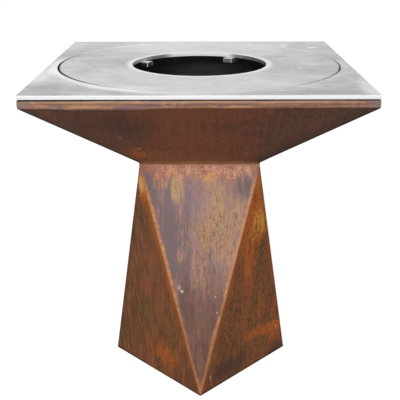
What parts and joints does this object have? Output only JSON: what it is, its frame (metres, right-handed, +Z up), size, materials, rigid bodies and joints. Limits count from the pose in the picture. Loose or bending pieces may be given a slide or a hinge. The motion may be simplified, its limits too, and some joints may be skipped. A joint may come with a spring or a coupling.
{
  "type": "fire pit",
  "caption": "Square fire bowl on a faceted, twisted pedestal, with a flat steel top plate, a loose cooking ring with a fire hole and lugs for a grill, and a lift-out fire grate.",
  "frame": {"origin": "on the ground, under the middle of the pedestal", "axes": "+Z up, -Y to the front that the picture shows, +X to the right of that front"},
  "size_m": [0.8, 0.8, 0.881],
  "materials": {
    "weathering_steel": "rusted, matt",
    "plate_steel": "bare rolled plate, satin",
    "fire_steel": "sooted, matt",
    "zinc_fastener": "zinc plated"
  },
  "bodies": {
    "stand": {"pedestal_panel_right": "weathering_steel", "pedestal_panel_back": "weathering_steel", "pedestal_panel_left": "weathering_steel", "pedestal_panel_front": "weathering_steel", "pedestal_panel_back_right": "weathering_steel", "pedestal_panel_back_left": "weathering_steel", "pedestal_panel_front_left": "weathering_steel", "pedestal_panel_front_right": "weathering_steel", "foot_rail_back_right": "weathering_steel", "foot_rail_back_left": "weathering_steel", "foot_rail_front_left": "weathering_steel", "foot_rail_front_right": "weathering_steel", "pedestal_top_plate": "weathering_steel", "bowl_floor": "weathering_steel", "bowl_wall_right": "weathering_steel", "bowl_wall_back": "weathering_steel", "bowl_wall_left": "weathering_steel", "bowl_wall_front": "weathering_steel", "clamp_bolts": "zinc_fastener", "clamp_washers": "zinc_fastener", "clamp_nuts": "zinc_fastener"},
    "top_plate": {"top_plate": "plate_steel", "locating_pins": "plate_steel"},
    "cooking_ring": {"cooking_ring": "plate_steel", "grill_lug_back_right": "plate_steel", "grill_lug_back_left": "plate_steel", "grill_lug_front_left": "plate_steel", "grill_lug_front_right": "plate_steel"},
    "fire_grate": {"fire_grate_rail_right": "fire_steel", "fire_grate_rail_back": "fire_steel", "fire_grate_rail_left": "fire_steel", "fire_grate_rail_front": "fire_steel", "fire_grate_bars": "fire_steel", "fire_grate_legs": "fire_steel"}
  },
  "joints": [
    {"name": "top_plate_lift", "type": "slide", "parent": "stand", "child": "top_plate", "axis": [0, 0, 1], "range_m": [0, 0.15]},
    {"name": "cooking_ring_lift", "type": "slide", "parent": "stand", "child": "cooking_ring", "axis": [0, 0, 1], "range_m": [0, 0.3]},
    {"name": "fire_grate_lift", "type": "slide", "parent": "stand", "child": "fire_grate", "axis": [0, 0, 1], "range_m": [0, 0.6]}
  ]
}
